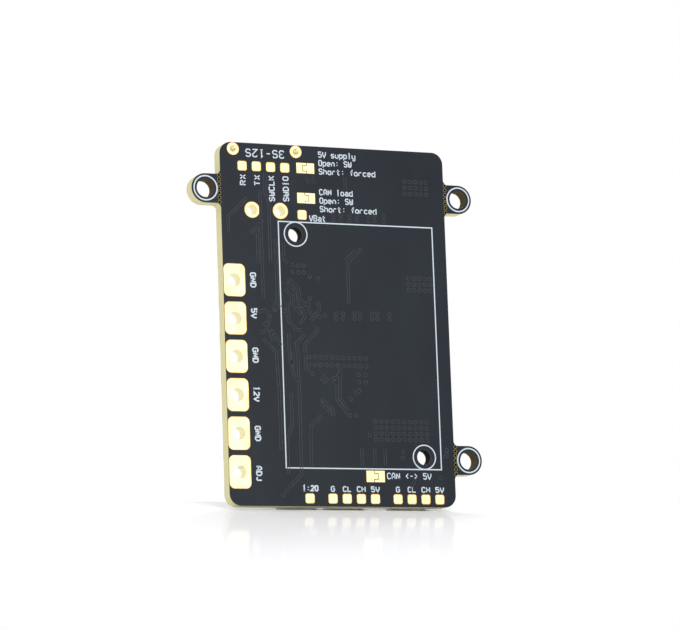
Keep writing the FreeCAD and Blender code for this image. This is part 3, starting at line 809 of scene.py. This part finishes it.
# Plain electrical terms. Outputs: text, shift up. Debug and signal lands: text, length.
# Notes: the land they explain, height of the first line, and the text and length of each line.
OUTPUT_TERMS = [("GND", 0.1), ("5V", 0.9), ("GND", 0.25), ("12V", 0.2), ("GND", 0.0), ("ADJ", -0.25)]
DEBUG_TERMS = [("RX", 1.85), ("TX", 1.85), ("SWCLK", 4.4), ("SWDIO", 4.3)]
SIGNAL_TERMS = [("G", 0.75), ("CL", 1.55), ("CH", 1.6), ("5V", 1.6)]
NOTES = [("jumper_5v_output", 2.45, [("5V supply", 6.65), ("Open: SW", 5.9), ("Short: forced", 10.2)]),
         ("jumper_can_termination", 1.15, [("CAN load", 5.95), ("Open: SW", 5.95), ("Short: forced", 10.2)])]
NOTE_PITCH = 1.44


def printed_labels(bm):
    """The terms beside the lands and jumpers."""
    for centre, (text, nudge) in zip(land_row("output_lands"), OUTPUT_TERMS):
        length = 0.85 * len(text)
        lettering(bm, text, centre.x + 3.3, centre.z + nudge, length, 1.1, SOLDER, -90, OUTPUT_PEN)
    for centre, (text, length) in zip(land_row("debug_lands"), DEBUG_TERMS):
        lettering(bm, text, centre.x + 0.05, centre.z - 1.45 - length / 2, length, 1.1, SOLDER, 90)
    left = land_row("signal_lands_left")[0]
    lettering(bm, "1:20", left.x + 0.1, left.z + 1.68, 2.9, 1.05, SOLDER, 0, RATIO_PEN)
    for node in ("signal_lands_middle", "signal_lands_right"):
        for centre, (text, length) in zip(land_row(node), SIGNAL_TERMS):
            lettering(bm, text, centre.x + 0.02, centre.z + 1.6, length, 1.0, SOLDER)
    legs = land_row("battery_leg_lands")
    lettering(bm, "3S-12S", (legs[0].x + legs[1].x) / 2 + 0.07, legs[0].z - 0.58, 7.0, 1.42, SOLDER, 180)
    low, high = box_in_mm("jumper_can_supply")
    middle = (low + high) / 2
    lettering(bm, "CAN <-> 5V", middle.x + 6.1, middle.z + 0.1, 8.1, 1.1, SOLDER, 0, SUPPLY_PEN)
    for node, first, lines in NOTES:
        low, high = box_in_mm(node)
        start = high.x + 0.85
        level = (low.z + high.z) / 2 + first
        for i, (text, length) in enumerate(lines):
            z = level - i * NOTE_PITCH
            lettering(bm, text, start + length / 2, z, length + 0.15, 1.08, SOLDER, 0, NOTE_PEN)
    sense = land_row("battery_sense_land")[0]
    lettering(bm, "VBat", sense.x + 2.75, sense.z - 0.5, 3.0, 1.1, SOLDER, 0, NOTE_PEN)


# Routes of the copper strips that can be felt under the mask, as (x, z) points.
SOLDER_TRACES = [
    [(4.1, 12.6), (2.05, 10.7), (2.05, 7.6), (2.0, 4.5)],
    [(3.7, 12.9), (1.65, 11.0)],
    [(-0.1, -7.9), (-0.55, -8.6), (-0.75, -12.4), (1.15, -14.9)],
    [(0.25, -8.0), (-0.05, -8.8), (-0.2, -12.2), (1.45, -14.5)],
    [(-3.3, -8.4), (-2.15, -9.4)],
    [(-3.5, -8.9), (-2.5, -9.8)],
    [(-3.6, -12.3), (-1.6, -14.1), (-1.4, -15.3)],
    [(-3.8, -12.9), (-2.1, -14.5), (-2.0, -15.2)],
    [(-3.9, -0.3), (-3.9, -1.1), (-6.15, -3.3), (-6.15, -7.4), (-5.4, -8.0)],
    [(-6.1, -1.7), (-7.7, -3.2), (-7.5, -5.0), (-7.4, -12.0), (-7.5, -25.0), (-10.6, -28.0)],
    [(-3.6, -15.2), (-5.6, -17.0), (-5.7, -23.6)],
    [(-9.4, 13.6), (-9.4, 10.9), (-8.7, 10.2)],
    [(-8.8, 7.6), (-7.1, 6.2), (-6.8, 5.4), (-6.9, 4.2), (-6.1, 3.6)],
    [(-9.2, 7.0), (-7.6, 5.6), (-7.6, 4.0), (-6.4, 2.6), (-6.0, 1.2), (-6.9, 0.0)],
    [(-9.4, 6.0), (-8.3, 4.8), (-8.3, 3.4), (-6.6, 1.6)],
    [(-5.3, 4.2), (-5.3, 2.6), (-4.6, 1.2)],
    [(-4.0, 3.8), (-3.4, 3.5), (-3.4, 2.4), (-5.0, 0.6)],
    [(-9.0, 3.6), (-9.0, 0.6), (-7.6, -0.9), (-6.6, -1.0)],
    [(-9.0, -1.6), (-9.0, -5.6), (-8.4, -8.2), (-7.7, -9.4)],
    [(-8.4, -4.6), (-8.4, -7.4)],
    [(-16.1, 20.5), (-19.1, 17.6), (-19.1, 15.0)],
    [(-13.5, 16.8), (-15.2, 15.0)],
    [(-12.35, 25.3), (-12.4, 21.8), (-11.8, 20.4), (-11.8, 10.2)],
    [(-13.45, 22.4), (-13.3, 20.4), (-13.3, 4.2)],
    [(-14.0, 16.4), (-14.0, 10.0)],
    [(-10.8, 14.2), (-10.8, 4.0), (-11.7, 1.9)],
    [(-10.2, 3.2), (-11.6, 2.0)],
    [(-14.6, 1.8), (-13.0, 2.2), (-12.2, 1.2), (-12.8, -0.6), (-11.4, -1.8), (-10.4, -3.6)],
    [(-14.0, -1.6), (-12.4, -1.0), (-11.8, -3.0)],
    [(-13.6, -2.6), (-11.3, -4.8), (-11.0, -12.0), (-11.0, -21.0)],
    [(-12.6, 0.4), (-13.4, -0.4)],
    [(-8.9, -11.5), (-8.9, -17.0), (-9.8, -19.0), (-9.8, -25.0)],
    [(-5.1, 25.0), (-4.3, 23.8)],
    [(-4.0, 25.1), (-3.3, 23.9)],
    [(2.1, 25.2), (2.1, 23.0)],
    [(3.4, -20.6), (3.4, -23.4)],
    [(5.7, -20.6), (5.7, -23.4)],
    [(7.6, -20.6), (7.6, -23.4)],
    [(12.9, -25.6), (12.2, -27.0), (12.2, -27.6)],
    [(18.1, -21.9), (18.9, -21.6), (18.9, -20.9)],
]

# Blocks of vias: first and last place, columns, rows.
SOLDER_VIA_FIELDS = [
    ((13.0, 25.0), (17.0, 22.9), 5, 3),
    ((13.1, 8.4), (17.1, 6.4), 5, 3),
    ((-5.5, -5.45), (4.8, -6.75), 11, 2),
    ((3.35, -8.2), (4.6, -9.45), 2, 2),
    ((6.05, -16.0), (15.4, -19.0), 10, 4),
    ((10.85, -21.0), (10.85, -22.0), 1, 2),
    ((-7.9, 9.9), (-5.9, 8.7), 3, 2),
]

SOLDER_VIAS = [
    (4.35, 12.9), (2.0, 4.1), (0.0, -7.6), (1.45, -15.1), (-5.0, -8.2), (-10.9, -28.4), (-5.8, 3.4),
    (-15.9, 20.7), (-13.2, 17.1), (-4.85, 8.05), (-3.4, 7.8), (-3.5, 1.35), (-2.4, 1.55), (-1.1, -8.9),
    (-1.1, -9.6), (2.8, -11.2), (3.35, -10.9), (1.75, -12.4), (2.7, -15.0), (-9.6, 2.2), (12.9, -25.3),
    (17.6, -25.3), (18.9, -20.6), (-6.9, 3.0), (-5.0, 4.4), (4.9, -18.3),
]

# Vias in pairs, one above the other.
PAIR_HALF_PITCH = 0.42
PAIR_MARKS = [(-0.4, 1.55), (0.85, 1.6), (2.95, 1.65), (3.95, 1.7), (6.1, 1.75),
              (7.1, 1.75), (9.3, 1.75), (-0.3, 18.2), (1.05, 18.25), (2.7, 18.3), (4.0, 18.35), (6.1, 18.4),
              (7.25, 18.5), (8.95, 18.4)]


def solder_side():
    """The printing, bare rims and copper relief of the plain face."""
    legend = bmesh.new()
    printed_seat(legend)
    printed_ears(legend, SOLDER)
    printed_labels(legend)
    add_piece("solder_side_legend", legend, INK)

    snap_rims = bmesh.new()
    for face in (SOLDER, PARTS):
        printed_snap_rims(snap_rims, face)
    add_piece("snap_off_rims", snap_rims, BARE_GLASS)
    land_rims()

    strips = bmesh.new()
    for route in SOLDER_TRACES:
        trace(strips, route, SOLDER, SOLDER_TRACE_WIDTH)
    add_piece("solder_side_traces", strips, COPPER_MASK)

    lips = bmesh.new()
    places = list(SOLDER_VIAS)
    for first, last, columns, rows in SOLDER_VIA_FIELDS:
        places += grid_of(first, last, columns, rows)
    for x, z in PAIR_MARKS:
        places += [(x, z - PAIR_HALF_PITCH), (x + 0.04, z + PAIR_HALF_PITCH)]
    for x, z in places:
        via(lips, x, z, SOLDER)
    add_piece("solder_side_vias", lips, COPPER_MASK)


# ------------------------------------------------------------ component side

FILLET_CREEP = 0.15
FILLET_CORNER = 0.17
FOOT_TOLERANCE = 0.06
SOLDERED = ["connector_left_contacts", "connector_left_tabs", "connector_middle_contacts",
            "connector_middle_tabs", "connector_right_contacts", "connector_right_tabs", "switch_terminals",
            "trimmer_terminals", "button_terminals", "inductor_terminals", "regulator_leads",
            "microcontroller_leads", "can_transceiver_leads", "supply_capacitor_ends", "small_capacitor_ends",
            "resistor_ends", "shunt_ends", "surge_diode_leads", "lamp_bases", "crystal_base"]


def cut_rectangle(low_x, high_x, low_z, high_z, corner_cut):
    """A rectangle outline with its corners cut off."""
    c = corner_cut
    return [(low_x + c, low_z), (high_x - c, low_z), (high_x, low_z + c), (high_x, high_z - c),
            (high_x - c, high_z), (low_x + c, high_z), (low_x, high_z - c), (low_x, low_z + c)]


def fillet(bm, low, high, climb):
    """Solder that has crept up round a foot."""
    creep = FILLET_CREEP
    shape = bmesh.new()
    outline = cut_rectangle(low.x - creep, high.x + creep, low.z - creep, high.z + creep, FILLET_CORNER)
    flat = shape.faces.new([shape.verts.new(corner(x, PARTS.height(-SINK), z)) for x, z in outline])
    middle = (low + high) / 2
    wide = (high.x - low.x) / 2 + creep
    deep = (high.z - low.z) / 2 + creep
    reached = -SINK
    drawn_in = 0.0
    for level, inward in ((0.03, 0.0), (0.35 * climb, 0.55 * creep), (climb, 0.9 * creep)):
        grown = bmesh.ops.extrude_face_region(shape, geom=[flat])["geom"]
        verts = [item for item in grown if isinstance(item, bmesh.types.BMVert)]
        flat = next(item for item in grown if isinstance(item, bmesh.types.BMFace))
        shrink = ((wide - inward) / (wide - drawn_in), 1, (deep - inward) / (deep - drawn_in))
        bmesh.ops.scale(shape, verts=verts, vec=shrink,
                        space=Matrix.Translation(-corner(middle.x, 0, middle.z)))
        bmesh.ops.translate(shape, verts=verts, vec=corner(0, level - reached, 0))
        reached = level
        drawn_in = inward
    add_shape(bm, shape)


def soldering():
    """Solder under and round every foot on the component side."""
    solder = bmesh.new()
    for node in SOLDERED:
        for points in shells_of(node):
            low, high = bounds_of(points)
            foot = [p for p in points if p.y < PLATE_THICKNESS + FOOT_TOLERANCE]
            if foot:
                climb = min(max(0.35 * (high.y - low.y), 0.1), 0.3)
                fillet(solder, *bounds_of(foot), climb)
    add_piece("solder_fillets", solder, SOLDER_METAL)


def mark(bm, points, width=MARK_WIDTH):
    """A printed line on the component side."""
    ribbon(bm, points, width, PARTS, INK_HEIGHT)


def marks_above_and_below(bm, low, high, reach, gap):
    """A line along the upper and the lower end of a body. A negative reach ends short of its sides."""
    for z in (high.z + gap, low.z - gap):
        mark(bm, [(low.x - reach, z), (high.x + reach, z)])


def corners_round(bm, low, high):
    """Four corner marks round a body."""
    margin = 0.35
    reach = 0.8
    for x, step_x in ((low.x - margin, 1), (high.x + margin, -1)):
        for z, step_z in ((low.z - margin, 1), (high.z + margin, -1)):
            mark(bm, [(x, z + step_z * reach), (x, z), (x + step_x * reach, z)])


def battery_panel(bm):
    """The outline of the battery connector with its rating and the signs of its two pins."""
    legs = land_row("battery_leg_lands")
    pins = land_row("battery_pin_lands")
    bottom = pins[0].z - 2.0
    frame_line(bm, legs[0].x - 1.3, legs[1].x + 1.3, bottom, legs[0].z + 0.2, PANEL_WIDTH, PARTS, INK_HEIGHT)
    lettering(bm, "3S-12S", (legs[0].x + legs[1].x) / 2, pins[0].z + 4.0, 5.6, 1.1, PARTS, 0, NOTE_PEN)
    sign_z = pins[0].z + 2.2
    half = 0.5
    for x in (pins[0].x, pins[1].x):
        mark(bm, [(x - half, sign_z), (x + half, sign_z)], PANEL_WIDTH)
    plus_x = pins[1].x
    mark(bm, [(plus_x, pins[1].z + 1.7), (plus_x, pins[1].z + 2.7)], PANEL_WIDTH)


def component_legend():
    """Outlines, first-pin dots and plain terms on the component side."""
    legend = bmesh.new()
    printed_ears(legend, PARTS)
    for name in ("module_hole_upper", "module_hole_lower"):
        centre = mount_centre(name)
        ring(legend, centre.x, centre.z, SEAT_RING, INK_WIDTH, PARTS, INK_HEIGHT)
    for node in ("microcontroller", "crystal_base", "switch_housing", "button_frame", "trimmer_body"):
        corners_round(legend, *box_in_mm(node))
    for node in ("inductor_12v", "inductor_5v", "inductor_adj"):
        marks_above_and_below(legend, *box_in_mm(node), 0.25, 0.2)
    dot_gap = 0.55
    for node in ("regulator_12v", "regulator_5v", "regulator_adj", "can_transceiver", "microcontroller"):
        low, high = box_in_mm(node)
        ring(legend, low.x - dot_gap, high.z + dot_gap, 0.12, 0.2, PARTS, INK_HEIGHT, steps=12)
    for low, high in solids_of("lamp_bases"):
        mark(legend, [(high.x + 0.35, low.z - 0.1), (high.x + 0.35, high.z + 0.1)])
    marks_above_and_below(legend, *box_in_mm("surge_diode"), -0.5, 0.25)
    low, high = box_in_mm("switch_housing")
    lettering(legend, "5V", low.x + 1.4, low.z - 2.6, 1.35, 0.95, PARTS, 0, FINE_PEN)
    lettering(legend, "CAN", high.x - 1.2, low.z - 2.6, 2.15, 0.95, PARTS, 0, FINE_PEN)
    low, high = box_in_mm("button_frame")
    lettering(legend, "BOOT", (low.x + high.x) / 2, low.z - 1.6, 2.9, 0.95, PARTS, 0, FINE_PEN)
    low, high = box_in_mm("trimmer_terminals")
    lettering(legend, "ADJ", (low.x + high.x) / 2, low.z - 1.05, 2.15, 0.95, PARTS, 0, FINE_PEN)
    battery_panel(legend)
    low, high = box_in_mm("connector_left_housing")
    lettering(legend, "1:20", (low.x + high.x) / 2, high.z + 2.3, 2.6, 0.95, PARTS, 0, RATIO_PEN_SMALL)
    left = box_in_mm("connector_middle_housing")[1]
    right = box_in_mm("connector_right_housing")[0]
    lettering(legend, "CAN", (left.x + right.x) / 2, left.z - 2.0, 2.15, 0.95, PARTS, 0, FINE_PEN)
    add_piece("component_side_legend", legend, INK)


# Routes of copper strips, outlines of copper areas, and single vias under the mask, as (x, z).
PART_TRACES = [
    [(3.2, 2.6), (0.6, 2.6), (-0.6, 3.4)],
    [(3.2, 1.4), (-0.2, 1.4), (-0.8, 0.8)],
    [(3.2, 0.2), (0.4, -0.2), (0.4, -4.0), (-0.4, -5.0)],
    [(3.2, -0.8), (1.2, -1.6), (1.2, -13.0), (-0.4, -14.4)],
    [(13.6, -0.8), (15.0, -2.2), (18.0, -2.2), (18.6, -2.8), (18.6, -17.0)],
    [(13.6, 0.4), (15.2, 0.0)],
    [(13.6, 1.4), (15.2, 1.4)],
    [(13.6, 2.4), (15.2, 2.8)],
    [(7.4, -3.6), (7.4, -12.4), (4.0, -16.0), (4.0, -17.6)],
    [(8.2, -3.6), (8.2, -12.8), (4.8, -16.4), (4.8, -18.0)],
    [(9.0, -3.6), (9.0, -13.2), (12.2, -16.4), (12.2, -24.0)],
    [(9.8, -3.6), (9.8, -12.8), (13.0, -16.0), (13.0, -19.0)],
    [(8.0, 7.4), (7.6, 8.4)],
    [(8.8, 7.4), (9.2, 8.4)],
    [(6.0, 7.0), (4.6, 8.4), (4.6, 10.6), (2.6, 12.2)],
    [(11.0, 7.0), (12.8, 8.8), (12.8, 18.0), (12.4, 19.6)],
    [(11.8, 7.0), (14.2, 9.4), (14.2, 18.6)],
    [(-0.6, -24.4), (-0.6, -22.0)],
    [(2.4, -24.4), (2.4, -22.8)],
    [(-6.0, -24.4), (-6.0, -19.6), (-5.2, -18.8)],
    [(-7.2, -24.4), (-7.2, -19.0)],
    [(15.2, -24.5), (17.5, -22.2), (17.5, -15.4)],
    [(6.6, 22.0), (6.6, 16.4), (8.6, 14.4), (10.8, 14.4)],
]

PART_COPPER = [(-9.4, -5.6, 6.6, 7.8), (-9.4, -5.6, -3.0, -1.8), (-9.4, -5.6, -12.6, -11.4),
               (-15.4, -8.2, -22.6, -19.0), (-2.6, 3.6, 14.4, 16.4), (-15.6, -8.8, 10.4, 12.4)]

PART_VIAS = [(-0.8, 3.6), (-1.0, 0.7), (-0.6, -5.2), (-0.6, -14.6), (18.6, -17.2), (4.0, -17.8), (13.0, -19.2),
             (12.2, -24.2), (2.5, 12.4), (17.5, -15.2), (11.0, 14.4), (6.6, 22.2), (14.2, 18.8), (-5.1, -18.6),
             (15.4, 0.0), (15.4, 1.4), (15.4, 2.8)]

PART_VIA_FIELDS = [
    ((-9.0, 7.4), (-6.0, 7.0), 5, 2),
    ((-9.0, -2.2), (-6.0, -2.6), 5, 2),
    ((-9.0, -11.8), (-6.0, -12.2), 5, 2),
    ((-15.0, -19.4), (-8.6, -22.2), 8, 4),
    ((-2.2, 14.8), (3.2, 16.0), 6, 2),
    ((-15.2, 12.0), (-9.2, 10.8), 7, 2),
]


def component_relief():
    """Copper that shows through the mask between the components."""
    strips = bmesh.new()
    for route in PART_TRACES:
        trace(strips, route, PARTS, PARTS_TRACE_WIDTH)
    for low_x, high_x, low_z, high_z in PART_COPPER:
        frame_line(strips, low_x, high_x, low_z, high_z, LIP, PARTS, RELIEF_HEIGHT)
    add_piece("component_side_traces", strips, COPPER_MASK)
    lips = bmesh.new()
    places = list(PART_VIAS)
    for first, last, columns, rows in PART_VIA_FIELDS:
        places += grid_of(first, last, columns, rows)
    for x, z in places:
        via(lips, x, z, PARTS)
    add_piece("component_side_vias", lips, COPPER_MASK)


# ------------------------------------------------------------ camera, floor and light

CAMERA_PLACE = (-0.21363, -0.49812, -0.08557)
CAMERA_TURN = (99.158, 2.014, -22.923)
LENS = 174.75
SENSOR_WIDTH = 36.0

# The board leans back on the floor, so the floor is tilted in the board's own frame.
LEAN = 10.0
FLOOR_GAP = 0.03
FLOOR_WIDTH = 0.6
FLOOR_DEPTH = 0.2
FLOOR_SHIFT = -0.085
FLOOR_SHINE = 0.15


def link(name, data):
    holder = bpy.data.objects.new(name, data)
    bpy.context.scene.collection.objects.link(holder)
    return holder


def set_camera():
    camera = bpy.data.cameras.new("camera")
    camera.lens = LENS
    camera.sensor_width = SENSOR_WIDTH
    holder = link("camera", camera)
    holder.location = CAMERA_PLACE
    holder.rotation_euler = Euler([math.radians(angle) for angle in CAMERA_TURN])
    bpy.context.scene.camera = holder


def lay_floor():
    """A pale glossy floor that touches the lowest corner of the leaning board."""
    low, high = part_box("connector_left_housing")
    touch = Vector((0, high.y, low.z - FLOOR_GAP * MM))
    lean = Matrix.Rotation(math.radians(LEAN), 3, "X")
    sheet = bmesh.new()
    bmesh.ops.create_grid(sheet, x_segments=1, y_segments=1, size=0.5)
    bmesh.ops.scale(sheet, verts=sheet.verts, vec=(FLOOR_WIDTH, FLOOR_DEPTH, 1))
    bmesh.ops.translate(sheet, verts=sheet.verts, vec=(0, FLOOR_SHIFT, 0))
    bmesh.ops.rotate(sheet, verts=sheet.verts, cent=(0, 0, 0), matrix=lean)
    bmesh.ops.translate(sheet, verts=sheet.verts, vec=touch)
    mesh = bpy.data.meshes.new("floor")
    sheet.to_mesh(mesh)
    sheet.free()
    mesh.materials.append(floor_finish())
    link("floor", mesh)


def floor_finish():
    graph = Graph("floor")
    shine = graph.node("ShaderNodeBsdfGlossy", {}, {"Color": tone(0.92, 0.93, 0.98), "Roughness": 0.06})
    matt = graph.node("ShaderNodeBsdfDiffuse", {}, {"Color": tone(0.775, 0.775, 0.785)})
    return graph.finish(graph.node("ShaderNodeMixShader", {}, {0: FLOOR_SHINE, 1: matt, 2: shine}))


def lamp(name, place, width, height, power):
    """A soft rectangular light that points at the board."""
    light = bpy.data.lights.new(name, "AREA")
    light.shape = "RECTANGLE"
    light.size = width
    light.size_y = height
    light.energy = power
    holder = link(name, light)
    holder.location = place
    holder.rotation_euler = (-Vector(place)).to_track_quat("-Z", "Y").to_euler()


def light_studio():
    world = bpy.data.worlds.new("studio")
    world.use_nodes = True
    background = world.node_tree.nodes["Background"]
    background.inputs["Color"].default_value = tone(1.0, 1.0, 1.0)
    background.inputs["Strength"].default_value = 1.0
    bpy.context.scene.world = world
    bpy.context.scene.view_settings.view_transform = "Standard"
    lamp("key", (-0.06, -0.45, 0.03), 0.14, 0.25, 1.6)
    lamp("rear", (0.25, 0.40, 0.30), 0.30, 0.30, 2.0)


dress_nodes()
solder_side()
soldering()
component_legend()
component_relief()
set_camera()
lay_floor()
light_studio()
